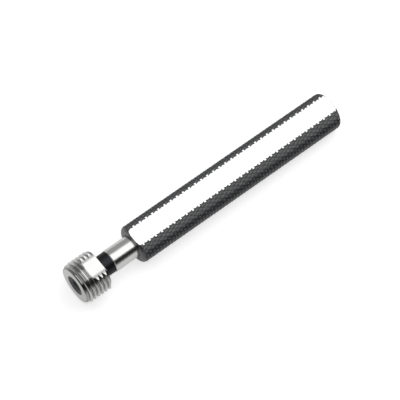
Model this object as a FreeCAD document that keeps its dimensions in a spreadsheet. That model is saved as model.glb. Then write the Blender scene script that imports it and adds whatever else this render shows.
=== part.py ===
import FreeCAD, Part
import os
import Sketcher

# A single-ended thread plug gauge, in millimetres. The tool's axis is X and the origin is the
# centre of the front face of the threaded head; +X runs along the tool to the rear of the handle.
# +Z is square to the ground flats, so the flats that carry the marking face up.

# Every size that can be set by itself: name, value, meaning.
SIZES = [
    # the threaded head
    ("thread_major_dia", 20.0, "diameter over the thread crests"),
    ("thread_pitch", 2.0, "distance from crest to crest"),
    ("thread_angle", 60.0, "angle between the flanks, degrees"),
    ("crest_width", 0.25, "flat left on each crest, an eighth of the pitch"),
    ("thread_depth", 1.227, "from the crest down to the relieved root"),
    ("thread_start", 0.8, "front face to the first groove's middle, over the upper flat"),
    ("head_length", 13.4, "front face to rear face of the head"),
    ("lead_depth", 1.2, "from the crest down to the front edge of the lead chamfer"),
    ("lead_angle", 30.0, "lead chamfer measured from the axis, degrees"),
    ("rear_chamfer", 0.9, "45 degree chamfer at the rear of the thread"),
    ("marking_height", 7.6, "axis to the flat ground across the rear of the thread"),
    ("marking_start", 6.0, "front face to the nearest point of that flat"),
    ("marking_cutter_dia", 40.0, "cutter that leaves the round front end of that flat"),
    # the centre hole in the front face
    ("guard_dia", 10.0, "mouth of the protective countersink"),
    ("guard_angle", 120.0, "included angle of the protective countersink, degrees"),
    ("centre_dia", 6.7, "large end of the centre"),
    ("centre_angle", 60.0, "included angle of the centre, degrees"),
    ("pilot_dia", 3.15, "pilot drill"),
    ("pilot_length", 2.0, "parallel part of the pilot hole"),
    ("drill_point_angle", 118.0, "included angle of a drilled bottom, degrees"),
    # the neck, the shank and the tang
    ("neck_dia", 10.4, "unground neck behind the head"),
    ("neck_length", 5.8, "rear face of the head to the shank"),
    ("neck_corner", 0.5, "45 degree corner where the neck meets the head"),
    ("shank_dia", 11.0, "large end of the taper shank"),
    ("shank_chamfer", 0.2, "edge break at the large end of the shank"),
    ("shank_exposed", 12.4, "length of shank in front of the handle"),
    ("taper_ratio", 50.0, "length in which the taper loses one unit of diameter"),
    ("tang_length", 30.0, "length of taper inside the handle"),
    ("tang_chamfer", 0.8, "45 degree chamfer at the end of the tang"),
    # the handle
    ("handle_dia", 18.6, "diameter over the knurl"),
    ("handle_length", 115.0, "front face to rear face of the handle"),
    ("end_radius", 2.0, "rounding of both ends"),
    ("flat_height", 7.8, "axis to each ground flat"),
    ("flat_count", 2.0, "flats around the handle"),
    ("mouth_chamfer", 0.3, "edge break at the mouth of the socket"),
    ("seat_clearance", 0.01, "radial allowance between tang and socket"),
    ("socket_end_gap", 1.5, "room behind the end of the tang"),
]

# How far a cutter runs past the metal that it cuts.
OVERRUN = 1.0

doc = FreeCAD.newDocument("thread_plug_gauge")

dims = doc.addObject("Spreadsheet::Sheet", "dims")
for row, (alias, value, meaning) in enumerate(SIZES, start=1):
    dims.set(f"A{row}", alias)
    dims.set(f"B{row}", str(value))
    dims.set(f"C{row}", meaning)
    dims.setAlias(f"B{row}", alias)
doc.recompute()


def size_of(rule):
    """The present value of a rule written in the sheet's names."""
    return float(dims.evalExpression(rule))


def new_body(name):
    body = doc.addObject("PartDesign::Body", name)
    body.Label = name
    return body


def new_sketch(body, name, role):
    """A sketch on one of the body's own origin planes."""
    planes = body.Origin.OriginFeatures
    sketch = body.newObject("Sketcher::SketchObject", name)
    sketch.AttachmentSupport = [(next(p for p in planes if p.Role == role), "")]
    sketch.MapMode = "FlatFace"
    return sketch


def bind(sketch, constraint, label, rule):
    """Add a dimension to a sketch and tie it to the sheet."""
    index = sketch.addConstraint(constraint)
    sketch.renameConstraint(index, label)
    sketch.setExpression(f"Constraints.{label}", rule)


def draw_outline(sketch, corners):
    """A closed outline of straight edges.

    Each corner is (name, rule, rule): its two distances from the sketch origin.
    """
    points = [FreeCAD.Vector(size_of(across), size_of(up), 0) for _, across, up in corners]
    last = len(corners) - 1
    for edge, point in enumerate(points):
        sketch.addGeometry(Part.LineSegment(point, points[0 if edge == last else edge + 1]))
    for edge, (name, across, up) in enumerate(corners):
        before = last if edge == 0 else edge - 1
        sketch.addConstraint(Sketcher.Constraint("Coincident", before, 2, edge, 1))
        for kind, rule, zero_axis in (("DistanceX", across, -2), ("DistanceY", up, -1)):
            if rule == "0":
                sketch.addConstraint(Sketcher.Constraint("PointOnObject", edge, 1, zero_axis))
                continue
            distance = Sketcher.Constraint(kind, -1, 1, edge, 1, size_of(rule))
            bind(sketch, distance, f"{name}_{kind[-1].lower()}", rule)


def turn(body, kind, name, outline):
    """Revolve an outline about the tool's axis, to add metal or to bore it away."""
    sketch = new_sketch(body, f"{name}_outline", "XZ_Plane")
    draw_outline(sketch, outline)
    feature = body.newObject(kind, name)
    feature.Profile = sketch
    feature.ReferenceAxis = (sketch, ["H_Axis"])
    feature.Angle = 360
    doc.recompute()
    return feature


# The gauge member is the threaded head, the neck, the taper shank and the tang in one piece.

major_radius = "dims.thread_major_dia / 2"
neck_radius = "dims.neck_dia / 2"
lead_length = "dims.lead_depth / tan(dims.lead_angle)"
shank_start = "dims.head_length + dims.neck_length"
face_station = f"{shank_start} + dims.shank_exposed"
tang_end = f"{face_station} + dims.tang_length"
mouth_radius = "(dims.shank_dia - dims.shank_exposed / dims.taper_ratio) / 2"
tang_end_radius = f"{mouth_radius} - dims.tang_length / dims.taper_ratio / 2"


def turn_member(body):
    return turn(body, "PartDesign::Revolution", "turned_blank", [
        ("face_centre", "0", "0"),
        ("face_rim", "0", f"{major_radius} - dims.lead_depth"),
        ("lead_top", lead_length, major_radius),
        ("rear_top", "dims.head_length - dims.rear_chamfer", major_radius),
        ("rear_rim", "dims.head_length", f"{major_radius} - dims.rear_chamfer"),
        ("corner_top", "dims.head_length", f"{neck_radius} + dims.neck_corner"),
        ("neck_front", "dims.head_length + dims.neck_corner", neck_radius),
        ("neck_rear", shank_start, neck_radius),
        ("shank_rim", shank_start, "dims.shank_dia / 2 - dims.shank_chamfer"),
        ("shank_top", f"{shank_start} + dims.shank_chamfer",
         "(dims.shank_dia - dims.shank_chamfer / dims.taper_ratio) / 2"),
        ("tang_top", f"{tang_end} - dims.tang_chamfer",
         f"{tang_end_radius} + dims.tang_chamfer / dims.taper_ratio / 2"),
        ("tang_rim", tang_end, f"{tang_end_radius} - dims.tang_chamfer"),
        ("tang_centre", tang_end, "0"),
    ])


def bore_centre(body):
    """A 60 degree centre with its pilot and a protective countersink."""
    guard_depth = "(dims.guard_dia - dims.centre_dia) / 2 / tan(dims.guard_angle / 2)"
    pilot_start = (
        f"{guard_depth} + (dims.centre_dia - dims.pilot_dia) / 2 / tan(dims.centre_angle / 2)"
    )
    pilot_end = f"{pilot_start} + dims.pilot_length"
    return turn(body, "PartDesign::Groove", "centre_hole", [
        ("mouth_centre", "0", "0"),
        ("mouth", "0", "dims.guard_dia / 2"),
        ("centre_top", guard_depth, "dims.centre_dia / 2"),
        ("pilot_top", pilot_start, "dims.pilot_dia / 2"),
        ("pilot_bottom", pilot_end, "dims.pilot_dia / 2"),
        ("point", f"{pilot_end} + dims.pilot_dia / 2 / tan(dims.drill_point_angle / 2)", "0"),
    ])


def cut_thread(body):
    """A right-hand groove that starts in front of the face, two turns before its first crossing of
    the upper flat's centre line, and runs out past the rear of the head."""
    flank = "tan(dims.thread_angle / 2)"
    rise = "dims.crest_width / 2"
    half_top = f"(dims.thread_pitch - dims.crest_width) / 2 + {rise} * {flank}"
    half_root = f"(dims.thread_pitch - dims.crest_width) / 2 - dims.thread_depth * {flank}"
    root_radius = f"{major_radius} - dims.thread_depth"
    top_radius = f"{major_radius} + {rise}"
    start = "dims.thread_start - 2 * dims.thread_pitch"
    sketch = new_sketch(body, "thread_form", "XZ_Plane")
    draw_outline(sketch, [
        ("front_root", f"{start} - ({half_root})", root_radius),
        ("front_top", f"{start} - ({half_top})", top_radius),
        ("rear_top", f"{start} + {half_top}", top_radius),
        ("rear_root", f"{start} + {half_root}", root_radius),
    ])
    helix = body.newObject("PartDesign::SubtractiveHelix", "thread")
    helix.Profile = sketch
    helix.ReferenceAxis = (sketch, ["H_Axis"])
    helix.Mode = "pitch-height-angle"
    helix.setExpression("Pitch", "dims.thread_pitch")
    helix.setExpression("Height", "dims.head_length + 3 * dims.thread_pitch")
    doc.recompute()
    return helix


def cut_marking_flat(body):
    """The flat ground across the rear of the thread, up from its own height."""
    sketch = new_sketch(body, "marking_flat_outline", "XY_Plane")
    sketch.setExpression("AttachmentOffset.Base.z", "dims.marking_height")
    radius = "dims.marking_cutter_dia / 2"
    centre = f"dims.marking_start + {radius}"
    circle = Part.Circle(
        FreeCAD.Vector(size_of(centre), 0, 0), FreeCAD.Vector(0, 0, 1), size_of(radius)
    )
    sketch.addGeometry(circle)
    sketch.addConstraint(Sketcher.Constraint("PointOnObject", 0, 3, -1))
    bind(sketch, Sketcher.Constraint("DistanceX", -1, 1, 0, 3, size_of(centre)), "centre", centre)
    bind(sketch, Sketcher.Constraint("Radius", 0, size_of(radius)), "cutter", radius)
    pocket = body.newObject("PartDesign::Pocket", "marking_flat")
    pocket.Profile = sketch
    pocket.Reversed = True
    pocket.setExpression("Length", f"{major_radius} - dims.marking_height + {OVERRUN}")
    doc.recompute()
    return pocket


def make_gauge_member():
    body = new_body("gauge_member")
    turn_member(body)
    bore_centre(body)
    cut_marking_flat(body)
    cut_thread(body)
    return body


# The handle is one bar with rounded ends, ground flats and the socket for the tang.

handle_radius = "dims.handle_dia / 2"


def circle_names(shape, rule_along, rule_radius):
    """The names of the round edges that lie at one station and have one radius."""
    along = size_of(rule_along)
    radius = size_of(rule_radius)
    return [
        f"Edge{number}"
        for number, edge in enumerate(shape.Edges, start=1)
        if isinstance(edge.Curve, Part.Circle)
        and abs(edge.Curve.Center.x - along) < 1e-4
        and abs(edge.Curve.Radius - radius) < 1e-4
    ]


def round_edges(body, name, base, edges, radius_rule):
    fillet = body.newObject("PartDesign::Fillet", name)
    fillet.Base = (base, edges)
    fillet.setExpression("Radius", radius_rule)
    doc.recompute()
    return fillet


def bore_socket(body):
    wall = "dims.seat_clearance"
    depth = "dims.tang_length + dims.socket_end_gap"
    end_radius = f"{mouth_radius} + {wall} - ({depth}) / dims.taper_ratio / 2"
    return turn(body, "PartDesign::Groove", "socket", [
        ("mouth_centre", "0", "0"),
        ("mouth_rim", "0", f"{mouth_radius} + {wall} + dims.mouth_chamfer"),
        ("mouth", "dims.mouth_chamfer",
         f"{mouth_radius} + {wall} - dims.mouth_chamfer / dims.taper_ratio / 2"),
        ("bottom", depth, end_radius),
        ("point", f"{depth} + ({end_radius}) / tan(dims.drill_point_angle / 2)", "0"),
    ])


def grind_flats(body):
    """One flat along the whole bar, then its copies around the axis."""
    sketch = new_sketch(body, "flat_outline", "YZ_Plane")
    reach = f"{handle_radius} + {OVERRUN}"
    draw_outline(sketch, [
        ("inner_left", f"-({reach})", "dims.flat_height"),
        ("inner_right", reach, "dims.flat_height"),
        ("outer_right", reach, reach),
        ("outer_left", f"-({reach})", reach),
    ])
    flat = body.newObject("PartDesign::Pocket", "flat")
    flat.Profile = sketch
    flat.Reversed = True
    flat.setExpression("Length", f"dims.handle_length + {OVERRUN}")
    doc.recompute()
    flats = body.newObject("PartDesign::PolarPattern", "flats")
    flats.Originals = [flat]
    flats.Axis = (sketch, ["N_Axis"])
    flats.Angle = 360
    flats.setExpression("Occurrences", "dims.flat_count")
    body.Tip = flats
    doc.recompute()
    return flats


def make_handle():
    body = new_body("handle")
    bar = turn(body, "PartDesign::Revolution", "bar", [
        ("front_centre", "0", "0"),
        ("front_rim", "0", handle_radius),
        ("rear_rim", "dims.handle_length", handle_radius),
        ("rear_centre", "dims.handle_length", "0"),
    ])
    rims = circle_names(bar.Shape, "0", handle_radius)
    rims += circle_names(bar.Shape, "dims.handle_length", handle_radius)
    round_edges(body, "rounded_ends", bar, rims, "dims.end_radius")
    bore_socket(body)
    grind_flats(body)
    body.setExpression("Placement.Base.x", face_station)
    return body


bodies = [make_gauge_member(), make_handle()]
doc.recompute()

faults = [item.Name for item in doc.Objects if {"Invalid", "Error"} & set(item.State)]
if faults:
    raise RuntimeError(f"these objects did not recompute: {faults}")
for body in bodies:
    if body.Shape.isNull() or not body.Shape.isValid() or len(body.Shape.Solids) != 1:
        raise RuntimeError(f"{body.Label} is not one valid solid")

os.makedirs("parts", exist_ok=True)
for body in bodies:
    body.Shape.exportStep(f"parts/{body.Label}.step")
    print(body.Label, round(body.Shape.Volume, 1), "mm3", body.Shape.BoundBox)
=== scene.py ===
import math

import bpy
from mathutils import Matrix, Vector


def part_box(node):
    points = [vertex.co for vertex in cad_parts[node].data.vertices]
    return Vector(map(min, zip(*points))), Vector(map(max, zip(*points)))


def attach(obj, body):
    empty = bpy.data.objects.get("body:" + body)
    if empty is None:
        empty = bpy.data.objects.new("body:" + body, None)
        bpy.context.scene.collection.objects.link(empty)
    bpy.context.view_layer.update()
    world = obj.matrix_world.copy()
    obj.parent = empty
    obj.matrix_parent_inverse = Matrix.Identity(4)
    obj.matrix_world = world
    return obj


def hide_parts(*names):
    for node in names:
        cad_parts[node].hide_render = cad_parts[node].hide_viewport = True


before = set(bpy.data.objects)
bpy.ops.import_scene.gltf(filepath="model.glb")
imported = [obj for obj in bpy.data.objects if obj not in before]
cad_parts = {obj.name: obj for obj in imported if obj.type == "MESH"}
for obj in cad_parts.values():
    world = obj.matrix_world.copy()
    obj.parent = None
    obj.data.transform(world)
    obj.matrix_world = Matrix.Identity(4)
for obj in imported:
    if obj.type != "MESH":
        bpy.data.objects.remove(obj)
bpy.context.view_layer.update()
scene = bpy.context.scene
scene.view_settings.view_transform = "Standard"
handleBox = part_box("handle")
print("frame loaded")


def addNode(tree, kind, **settings):
    node = tree.nodes.new(kind)
    for name, value in settings.items():
        setattr(node, name, value)
    return node


def feed(tree, source, socket):  # a link where the source is a socket, otherwise a plain value
    if isinstance(source, bpy.types.NodeSocket):
        tree.links.new(source, socket)
    else:
        socket.default_value = source


def calc(tree, operation, *values):  # one math node, returns its output
    node = addNode(tree, "ShaderNodeMath", operation=operation)
    for index, value in enumerate(values):
        feed(tree, value, node.inputs[index])
    return node.outputs[0]


def fade(tree, value, start, end, low=0.0, high=1.0):  # a smooth step from low to high
    node = addNode(tree, "ShaderNodeMapRange", interpolation_type="SMOOTHSTEP")
    for index, item in enumerate((value, start, end, low, high)):
        feed(tree, item, node.inputs[index])
    return node.outputs[0]


def ramp(tree, factor, stops):  # stops are (place, colour)
    node = addNode(tree, "ShaderNodeValToRGB")
    bar = node.color_ramp
    while len(bar.elements) > 1:
        bar.elements.remove(bar.elements[-1])
    bar.elements[0].position = stops[0][0]
    bar.elements[0].color = (*stops[0][1], 1)
    for place, colour in stops[1:]:
        bar.elements.new(place).color = (*colour, 1)
    feed(tree, factor, node.inputs["Fac"])
    return node.outputs["Color"]


def blendColour(tree, factor, first, second):
    node = addNode(tree, "ShaderNodeMix", data_type="RGBA")
    feed(tree, factor, node.inputs[0])
    for item, socket in ((first, node.inputs[6]), (second, node.inputs[7])):
        feed(tree, item if isinstance(item, bpy.types.NodeSocket) else (*item, 1), socket)
    return node.outputs[2]


def newMaterial(name):
    material = bpy.data.materials.new(name)
    material.use_nodes = True
    return material, material.node_tree, material.node_tree.nodes["Principled BSDF"]


def toolPlace(tree):  # station along the tool, distance from its axis, and the place itself
    place = addNode(tree, "ShaderNodeTexCoord").outputs["Object"]
    parts = addNode(tree, "ShaderNodeSeparateXYZ")
    feed(tree, place, parts.inputs[0])
    flat = addNode(tree, "ShaderNodeCombineXYZ")
    feed(tree, parts.outputs["Y"], flat.inputs["Y"])
    feed(tree, parts.outputs["Z"], flat.inputs["Z"])
    length = addNode(tree, "ShaderNodeVectorMath", operation="LENGTH")
    feed(tree, flat.outputs[0], length.inputs[0])
    return parts.outputs["X"], length.outputs["Value"], place


def noise(tree, place, scale, detail, stretch=None):
    if stretch:
        mapping = addNode(tree, "ShaderNodeMapping")
        feed(tree, place, mapping.inputs["Vector"])
        mapping.inputs["Scale"].default_value = stretch
        place = mapping.outputs[0]
    node = addNode(tree, "ShaderNodeTexNoise")
    feed(tree, place, node.inputs["Vector"])
    node.inputs["Scale"].default_value = scale
    node.inputs["Detail"].default_value = detail
    return node.outputs["Fac"]


def addBump(tree, shader, height, strength, distance):
    bump = addNode(tree, "ShaderNodeBump")
    bump.inputs["Strength"].default_value = strength
    bump.inputs["Distance"].default_value = distance
    feed(tree, height, bump.inputs["Height"])
    feed(tree, bump.outputs[0], shader.inputs["Normal"])


cameraSetup = {
    "aimStation": 0.07245,   # point of the axis that the view is framed on, from the gauging end
    "axisAngle": 71.2,       # between the axis and the line of sight, in degrees
    "turn": 16.9,            # from straight above the flat, round the axis
    "slope": 34.72,          # of the axis in the picture
    "distance": 0.92,
    "lens": 184.5,
    "sensor": 36.0,
    "aimShift": (-0.00167, -0.00166),    # right and up in the picture
}


def makeCamera():
    angle, turn, slope = (math.radians(cameraSetup[name]) for name in ("axisAngle", "turn", "slope"))
    axis = Vector((1, 0, 0))
    back = Vector((-math.cos(angle), -math.sin(angle) * math.sin(turn), math.sin(angle) * math.cos(turn)))
    along = (axis - back * axis.dot(back)).normalized()
    across = along.cross(back)
    right = along * math.cos(slope) + across * math.sin(slope)
    up = along * math.sin(slope) - across * math.cos(slope)
    place = axis * cameraSetup["aimStation"] + back * cameraSetup["distance"]
    shiftRight, shiftUp = cameraSetup["aimShift"]
    aim = axis * cameraSetup["aimStation"] + right * shiftRight + up * shiftUp
    back = (place - aim).normalized()
    right = up.cross(back).normalized()
    up = back.cross(right)
    data = bpy.data.cameras.new("camera")
    data.lens = cameraSetup["lens"]
    data.sensor_width = cameraSetup["sensor"]
    data.clip_start = 0.05
    data.clip_end = 20
    camera = bpy.data.objects.new("camera", data)
    camera.matrix_world = Matrix.Translation(place) @ Matrix((right, up, back)).transposed().to_4x4()
    scene.collection.objects.link(camera)
    scene.camera = camera


studio = {
    "floorSize": 3.0,
    "headContact": (0.0125, -0.0100),    # station and height where the thread's last crest touches
    "heelContact": (0.1446, -0.0078),    # where the lower flat's rear end touches
    "floorColour": 0.72,
    "floorGlow": 0.62,           # added for what the camera sees
    "mirrorGlow": 0.30,          # added for what the metal mirrors
    "darkSide": (-0.16, 0.02),   # stations between which the mirrored floor comes up from dark
    "softboxSize": (1.2, 0.66),
    "softboxHeight": 0.55,
    "softboxStation": 0.35,
    "softboxPower": 2.6,
    "mirrorShade": 0.12,         # level of the mirrored floor where it is dark
    # what the metal mirrors around it: degrees from overhead toward -Y, and the level there
    "surround": ((-180, 0.5), (-95, 0.42), (-40, 0.42), (-32, 0.5), (32, 0.5), (38, 0.02),
                 (72, 0.02), (88, 0.5)),
    "aheadFade": (-0.85, -0.35),  # X of the direction between which the front comes up from dark
    "aheadLevel": 0.12,
}


def makeFloor():
    (headX, headZ), (heelX, heelZ) = studio["headContact"], studio["heelContact"]
    slope = (heelZ - headZ) / (heelX - headX)
    half = studio["floorSize"] / 2
    corners = []
    for x, y in ((-half, -half), (half, -half), (half, half), (-half, half)):
        corners.append((x, y, headZ + (x - headX) * slope))
    mesh = bpy.data.meshes.new("floor")
    mesh.from_pydata(corners, [], [(0, 1, 2, 3)])
    floor = bpy.data.objects.new("floor", mesh)
    scene.collection.objects.link(floor)
    material, tree, shader = newMaterial("paleFloor")
    shader.inputs["Roughness"].default_value = 1.0
    shader.inputs["Specular IOR Level"].default_value = 0.0
    path = addNode(tree, "ShaderNodeLightPath")
    station = toolPlace(tree)[0]
    mirrored = calc(tree, "MAXIMUM", path.outputs["Is Glossy Ray"], path.outputs["Is Transmission Ray"])
    rise = fade(tree, station, *studio["darkSide"])
    mirrorGlow = calc(tree, "MULTIPLY", calc(tree, "MULTIPLY", mirrored, rise), studio["mirrorGlow"])
    glow = calc(tree, "MULTIPLY_ADD", path.outputs["Is Camera Ray"], studio["floorGlow"], mirrorGlow)
    level = studio["floorColour"]
    # painted reflection: for glossy rays only, the floor in front of the gauging end is shaded dark and
    # the rest glows brighter
    dark = calc(tree, "MULTIPLY", mirrored, calc(tree, "SUBTRACT", 1.0, rise))
    shade = blendColour(tree, dark, (level, level, level), (studio["mirrorShade"],) * 3)
    feed(tree, shade, shader.inputs["Base Color"])
    shader.inputs["Emission Color"].default_value = (1, 1, 1, 1)
    feed(tree, glow, shader.inputs["Emission Strength"])
    mesh.materials.append(material)


def addSoftbox(name, place, aim, size, power):
    data = bpy.data.lights.new(name, "AREA")
    data.shape = "RECTANGLE"
    data.size, data.size_y = size
    data.energy = power
    lamp = bpy.data.objects.new(name, data)
    lamp.location = place
    lamp.rotation_euler = (Vector(place) - Vector(aim)).to_track_quat("Z", "X").to_euler()
    lamp.visible_camera = False
    scene.collection.objects.link(lamp)


def makeWorld():
    world = bpy.data.worlds.new("studio")
    scene.world = world
    world.use_nodes = True
    tree = world.node_tree
    background = tree.nodes["Background"]
    place = addNode(tree, "ShaderNodeTexCoord")
    parts = addNode(tree, "ShaderNodeSeparateXYZ")
    feed(tree, place.outputs["Generated"], parts.inputs[0])
    toward = calc(tree, "MULTIPLY", parts.outputs["Y"], -1.0)
    angle = calc(tree, "ARCTAN2", toward, parts.outputs["Z"])
    turn = calc(tree, "MULTIPLY_ADD", angle, 1 / (2 * math.pi), 0.5)
    stops = [(degrees / 360 + 0.5, (level, level, level)) for degrees, level in studio["surround"]]
    colour = ramp(tree, turn, stops)
    ahead = fade(tree, parts.outputs["X"], *studio["aheadFade"], studio["aheadLevel"], 1.0)
    shaded = blendColour(tree, ahead, (0, 0, 0), colour)
    path = addNode(tree, "ShaderNodeLightPath")
    seen = blendColour(tree, path.outputs["Is Camera Ray"], shaded, (1, 1, 1))
    feed(tree, seen, background.inputs["Color"])
    background.inputs["Strength"].default_value = 1.0


gauging = {
    "neckFront": 0.0134,     # stations of the neck
    "neckRear": 0.0192,
    "neckTop": 0.0058,       # radius under which the metal between the two is left unground
    "guardRadius": 0.0050,   # mouth of the centre hole
    "holeDepth": 0.0100,
    "crestRadius": 0.0100,
    "rootRadius": 0.00877,
    "brightSteel": (0.66, 0.66, 0.65),
    # painted shade: the colour the thread's flanks darken to at their roots
    "paintedRootShade": (0.34, 0.34, 0.335),
    "unground": (0.030, 0.031, 0.034),
    "paintedHoleShade": (0.115, 0.118, 0.125),   # painted shade inside the centre hole
    "toneSpread": 0.16,
    "polish": (0.14, 0.13),  # spread and least of the roughness
    "darkRoughness": 0.42,
    "grindingMarks": (9000.0, 90.0, 90.0),
}


def groundSteel():  # thread, face and shank finely ground, neck left dark unground; the centre hole and the thread's roots get painted shade
    material, tree, shader = newMaterial("ground_steel")
    station, radius, place = toolPlace(tree)
    neckFront, neckRear, neckTop = (gauging[name] for name in ("neckFront", "neckRear", "neckTop"))
    guard, root = gauging["guardRadius"], gauging["rootRadius"]
    behind = fade(tree, station, neckFront + 0.0001, neckFront + 0.0005)
    before = fade(tree, station, neckRear - 0.0002, neckRear + 0.0001, 1.0, 0.0)
    thin = fade(tree, radius, neckTop, neckTop + 0.0006, 1.0, 0.0)
    neck = calc(tree, "MULTIPLY", calc(tree, "MULTIPLY", behind, before), thin)
    inner = fade(tree, radius, guard - 0.00015, guard + 0.00005, 1.0, 0.0)
    front = fade(tree, station, gauging["holeDepth"] - 0.001, gauging["holeDepth"], 1.0, 0.0)
    hole = calc(tree, "MULTIPLY", inner, front)
    patches = noise(tree, place, 260.0, 4.0)
    rings = noise(tree, place, 1.0, 2.0, gauging["grindingMarks"])   # round the axis
    # painted shade: the thread's flanks are darkened toward the roots, between root and crest radius
    depth = fade(tree, radius, root, gauging["crestRadius"] - 0.0003)
    head = fade(tree, station, neckFront, neckFront + 0.0002, 1.0, 0.0)
    wall = fade(tree, radius, root - 0.0006, root - 0.0001)
    thread = calc(tree, "MULTIPLY", head, wall)
    rootShadeMask = calc(tree, "MULTIPLY", thread, calc(tree, "SUBTRACT", 1.0, depth))
    tone = calc(tree, "MULTIPLY_ADD", patches, gauging["toneSpread"], -gauging["toneSpread"] / 2)
    bright = addNode(tree, "ShaderNodeHueSaturation")
    bright.inputs["Color"].default_value = (*gauging["brightSteel"], 1)
    feed(tree, calc(tree, "ADD", 1.0, tone), bright.inputs["Value"])
    colour = blendColour(tree, rootShadeMask, bright.outputs[0], gauging["paintedRootShade"])
    # painted shade: the inside of the centre hole is darkened
    colour = blendColour(tree, hole, colour, gauging["paintedHoleShade"])
    colour = blendColour(tree, neck, colour, gauging["unground"])
    feed(tree, colour, shader.inputs["Base Color"])
    shader.inputs["Metallic"].default_value = 1.0
    rough = calc(tree, "MULTIPLY_ADD", rings, *gauging["polish"])
    dark = calc(tree, "MULTIPLY", calc(tree, "MAXIMUM", neck, hole), gauging["darkRoughness"])
    rough = calc(tree, "MAXIMUM", rough, dark)
    feed(tree, rough, shader.inputs["Roughness"])
    addBump(tree, shader, rings, 0.22, 0.00002)
    return material


barrel = {
    "knurlCount": 30,          # diamonds around
    "knurlPitch": 0.003475,    # along the bar
    "knurlDepth": 0.00043,
    "knurlTop": 0.25,          # share of the pitch that is left flat on each diamond
    "knurlTurn": 33.0,         # where one row of diamonds lies, degrees from overhead toward -Y
    "knurlStation": 0.0127,    # where one ring of diamonds lies, from the front face
    "steps": 8,                # mesh steps to each diamond
    "endRadius": 0.0020,
    "endSteps": 7,
    "mouthRadius": 0.005386,
    "mouthChamfer": 0.0003,
    "socketDepth": 0.0315,
    "socketTaper": 50.0,
    "drillAngle": 118.0,
    "oxide": (0.020, 0.0215, 0.024),
    "oxideWorn": (0.085, 0.088, 0.095),
    "oxidePale": 1.45,         # how much paler the oxide's light patches are
    "oxideRoughness": (0.16, 0.22),   # spread and least
    "flatSteel": (0.80, 0.80, 0.80),
    "flatRoughness": (0.16, 0.20),
    "flatMarks": (60.0, 5200.0, 1.0),
}


def blackOxide(radius):  # blackened steel, rubbed paler on the points of the knurl
    material, tree, shader = newMaterial("black_oxide_steel")
    fromAxis, place = toolPlace(tree)[1:]
    patches = noise(tree, place, 190.0, 5.0)
    fine = noise(tree, place, 2600.0, 2.0)
    worn = fade(tree, fromAxis, radius - 0.00016, radius - 0.00002)
    worn = calc(tree, "MULTIPLY", worn, fade(tree, patches, 0.30, 0.62, 0.25, 1.0))
    pale = tuple(barrel["oxidePale"] * level for level in barrel["oxide"])
    base = blendColour(tree, fade(tree, patches, 0.3, 0.7), barrel["oxide"], pale)
    feed(tree, blendColour(tree, worn, base, barrel["oxideWorn"]), shader.inputs["Base Color"])
    shader.inputs["Metallic"].default_value = 0.0
    shader.inputs["IOR"].default_value = 1.8
    rough = calc(tree, "MULTIPLY_ADD", fine, *barrel["oxideRoughness"])
    feed(tree, rough, shader.inputs["Roughness"])
    addBump(tree, shader, fine, 0.25, 0.00002)
    return material


def groundFlat():  # bright flats, ground along the bar
    material, tree, shader = newMaterial("bright_flat")
    place = toolPlace(tree)[2]
    marks = noise(tree, place, 1.0, 3.0, barrel["flatMarks"])
    patches = noise(tree, place, 120.0, 3.0)
    low, high = (tuple(level * share for level in barrel["flatSteel"]) for share in (0.94, 1.04))
    feed(tree, blendColour(tree, patches, low, high), shader.inputs["Base Color"])
    shader.inputs["Metallic"].default_value = 1.0
    rough = calc(tree, "MULTIPLY_ADD", marks, *barrel["flatRoughness"])
    feed(tree, rough, shader.inputs["Roughness"])
    addBump(tree, shader, marks, 0.15, 0.00001)
    return material


def barrelProfile(front, rear, radius):  # (station, radius) from the socket's point to the rear centre
    end, mouth, chamfer = (barrel[name] for name in ("endRadius", "mouthRadius", "mouthChamfer"))
    depth = barrel["socketDepth"]
    bottom = mouth - depth / barrel["socketTaper"] / 2
    point = depth + bottom / math.tan(math.radians(barrel["drillAngle"] / 2))
    rows = [(point, 0.0), (depth, bottom), (chamfer, mouth), (0.0, mouth + chamfer)]
    for index in range(barrel["endSteps"]):
        angle = math.pi / 2 * index / barrel["endSteps"]
        rows.append((end - end * math.cos(angle), radius - end + end * math.sin(angle)))
    length = rear - front
    pitch = barrel["knurlPitch"] / barrel["steps"]
    first = math.ceil((end - barrel["knurlStation"]) / pitch)
    last = math.floor((length - end - barrel["knurlStation"]) / pitch)
    rows.append((end, radius))
    for index in range(first, last + 1):
        station = barrel["knurlStation"] + index * pitch
        if end + pitch / 4 < station < length - end - pitch / 4:
            rows.append((station, radius))
    rows.append((length - end, radius))
    for index in range(1, barrel["endSteps"] + 1):
        angle = math.pi / 2 * index / barrel["endSteps"]
        rows.append((length - end + end * math.sin(angle), radius - end + end * math.cos(angle)))
    rows.append((length, 0.0))
    return [(front + station, size) for station, size in rows]


def turnedBlank(profile):  # a closed mesh of quads, with a triangle fan at each end
    around = barrel["knurlCount"] * barrel["steps"]
    start = math.radians(barrel["knurlTurn"])
    corners = [(profile[0][0], 0.0, 0.0)]
    for station, radius in profile[1:-1]:
        for index in range(around):
            angle = start + 2 * math.pi * index / around
            corners.append((station, -radius * math.sin(angle), radius * math.cos(angle)))
    corners.append((profile[-1][0], 0.0, 0.0))
    faces = []
    rings = len(profile) - 2
    for index in range(around):
        following = (index + 1) % around
        faces.append((0, 1 + index, 1 + following))
        for ring in range(rings - 1):
            near, far = 1 + ring * around, 1 + (ring + 1) * around
            faces.append((near + index, far + index, far + following, near + following))
        last = 1 + (rings - 1) * around
        faces.append((last + index, len(corners) - 1, last + following))
    mesh = bpy.data.meshes.new("turnedBlank")
    mesh.from_pydata(corners, [], faces)
    mesh.update()
    return mesh


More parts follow.
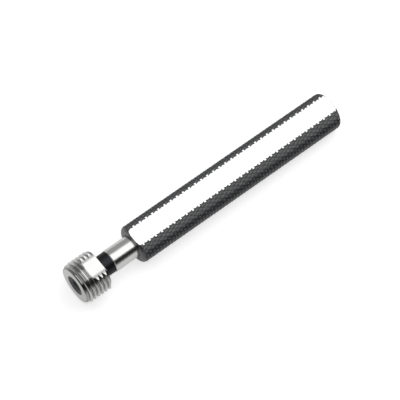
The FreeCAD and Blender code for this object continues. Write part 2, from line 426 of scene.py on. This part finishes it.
def knurlTree(oxide, bright):  # presses the diamonds in, grinds the flats and gives the two finishes
    tree = bpy.data.node_groups.new("knurledBar", "GeometryNodeTree")
    sockets = {}
    tree.interface.new_socket("Geometry", in_out="INPUT", socket_type="NodeSocketGeometry")
    for name in ("Radius", "Flat Height", "Knurl Depth", "Knurl Pitch", "Knurl Count", "Knurl Top",
                 "Knurl Turn", "Knurl Station"):
        socket = tree.interface.new_socket(name, in_out="INPUT", socket_type="NodeSocketFloat")
        sockets[name] = socket.identifier
    tree.interface.new_socket("Geometry", in_out="OUTPUT", socket_type="NodeSocketGeometry")
    given = addNode(tree, "NodeGroupInput").outputs
    place = addNode(tree, "GeometryNodeInputPosition").outputs[0]
    parts = addNode(tree, "ShaderNodeSeparateXYZ")
    feed(tree, place, parts.inputs[0])
    x, y, z = parts.outputs
    toward = calc(tree, "MULTIPLY", y, -1.0)
    angle = calc(tree, "SUBTRACT", calc(tree, "ARCTAN2", toward, z), given["Knurl Turn"])
    rows = calc(tree, "MULTIPLY", calc(tree, "DIVIDE", angle, 2 * math.pi), given["Knurl Count"])
    columns = calc(tree, "DIVIDE", calc(tree, "SUBTRACT", x, given["Knurl Station"]), given["Knurl Pitch"])
    half = calc(tree, "MULTIPLY", given["Knurl Top"], 0.5)
    grooves = []
    for operation in ("ADD", "SUBTRACT"):
        line = calc(tree, operation, rows, columns)
        away = calc(tree, "ABSOLUTE", calc(tree, "SUBTRACT", line, calc(tree, "ROUND", line)))
        beyond = calc(tree, "MAXIMUM", calc(tree, "SUBTRACT", away, half), 0.0)
        grooves.append(calc(tree, "DIVIDE", beyond, calc(tree, "SUBTRACT", 0.5, half)))
    sunk = calc(tree, "MULTIPLY", calc(tree, "MAXIMUM", *grooves), given["Knurl Depth"])
    limit = calc(tree, "SUBTRACT", given["Radius"], sunk)
    squares = calc(tree, "MULTIPLY_ADD", y, y, calc(tree, "MULTIPLY", z, z))
    radius = calc(tree, "SQRT", squares)
    kept = calc(tree, "MINIMUM", radius, limit)
    share = calc(tree, "DIVIDE", kept, calc(tree, "MAXIMUM", radius, 1e-6))
    newY = calc(tree, "MULTIPLY", y, share)
    newZ = calc(tree, "MULTIPLY", z, share)
    lower = calc(tree, "MULTIPLY", given["Flat Height"], -1.0)
    newZ = calc(tree, "MAXIMUM", calc(tree, "MINIMUM", newZ, given["Flat Height"]), lower)
    moved = addNode(tree, "ShaderNodeCombineXYZ")
    for source, socket in zip((x, newY, newZ), moved.inputs):
        feed(tree, source, socket)
    crossed = calc(tree, "GREATER_THAN", grooves[0], grooves[1])   # which way the cell's ridge runs
    split = addNode(tree, "GeometryNodeTriangulate", quad_method="FIXED_ALTERNATE")
    feed(tree, given["Geometry"], split.inputs["Mesh"])
    feed(tree, crossed, split.inputs["Selection"])
    rest = addNode(tree, "GeometryNodeTriangulate", quad_method="FIXED")
    feed(tree, split.outputs["Mesh"], rest.inputs["Mesh"])
    shaped = addNode(tree, "GeometryNodeSetPosition")
    feed(tree, rest.outputs["Mesh"], shaped.inputs["Geometry"])
    feed(tree, moved.outputs[0], shaped.inputs["Position"])
    facing = addNode(tree, "ShaderNodeSeparateXYZ")
    feed(tree, addNode(tree, "GeometryNodeInputNormal").outputs[0], facing.inputs[0])
    level = calc(tree, "GREATER_THAN", calc(tree, "ABSOLUTE", facing.outputs["Z"]), 0.995)
    nearFlat = calc(tree, "SUBTRACT", given["Flat Height"], 2e-6)
    high = calc(tree, "GREATER_THAN", calc(tree, "ABSOLUTE", z), nearFlat)
    ground = calc(tree, "MULTIPLY", level, high)
    plain = addNode(tree, "GeometryNodeSetShadeSmooth")
    feed(tree, shaped.outputs[0], plain.inputs["Geometry"])
    plain.inputs["Shade Smooth"].default_value = False
    realized = addNode(tree, "GeometryNodeRealizeInstances")
    feed(tree, plain.outputs[0], realized.inputs[0])
    dark = addNode(tree, "GeometryNodeSetMaterial")
    feed(tree, realized.outputs[0], dark.inputs["Geometry"])
    dark.inputs["Material"].default_value = oxide
    pale = addNode(tree, "GeometryNodeSetMaterial")
    feed(tree, dark.outputs[0], pale.inputs["Geometry"])
    feed(tree, ground, pale.inputs["Selection"])
    pale.inputs["Material"].default_value = bright
    feed(tree, pale.outputs[0], addNode(tree, "NodeGroupOutput").inputs[0])
    return tree, sockets


def makeKnurledHandle():
    front, rear = handleBox[0][0], handleBox[1][0]
    radius, flatHeight = handleBox[1][1], handleBox[1][2]
    blank = turnedBlank(barrelProfile(front, rear, radius))
    tree, sockets = knurlTree(blackOxide(radius), groundFlat())
    rough = bpy.data.objects.new("knurlBlank", blank)
    scene.collection.objects.link(rough)
    modifier = rough.modifiers.new("knurl", "NODES")
    modifier.node_group = tree
    values = {
        "Radius": radius,
        "Flat Height": flatHeight,
        "Knurl Depth": barrel["knurlDepth"],
        "Knurl Pitch": barrel["knurlPitch"],
        "Knurl Count": float(barrel["knurlCount"]),
        "Knurl Top": barrel["knurlTop"],
        "Knurl Turn": math.radians(barrel["knurlTurn"]),
        "Knurl Station": front + barrel["knurlStation"],
    }
    for name, value in values.items():
        modifier[sockets[name]] = value
    bpy.context.view_layer.update()
    made = bpy.data.meshes.new_from_object(rough.evaluated_get(bpy.context.evaluated_depsgraph_get()))
    made.name = "knurled_handle"
    rough.modifiers.remove(modifier)
    bpy.data.objects.remove(rough)
    handle = bpy.data.objects.new("knurled_handle", made)
    scene.collection.objects.link(handle)
    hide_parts("handle")
    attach(handle, "root")
    print("handle", len(made.vertices), "vertices", len(made.polygons), "faces")


makeCamera()
makeFloor()
makeWorld()
softboxX = studio["softboxStation"]
softboxPlace = (softboxX, 0, studio["softboxHeight"])
addSoftbox("overhead", softboxPlace, (softboxX, 0, 0), studio["softboxSize"], studio["softboxPower"])
print("studio ready")
steel = groundSteel()
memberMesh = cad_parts["gauge_member"].data
for index in range(len(memberMesh.materials)):
    memberMesh.materials[index] = steel
print("gauge member finished")
makeKnurledHandle()
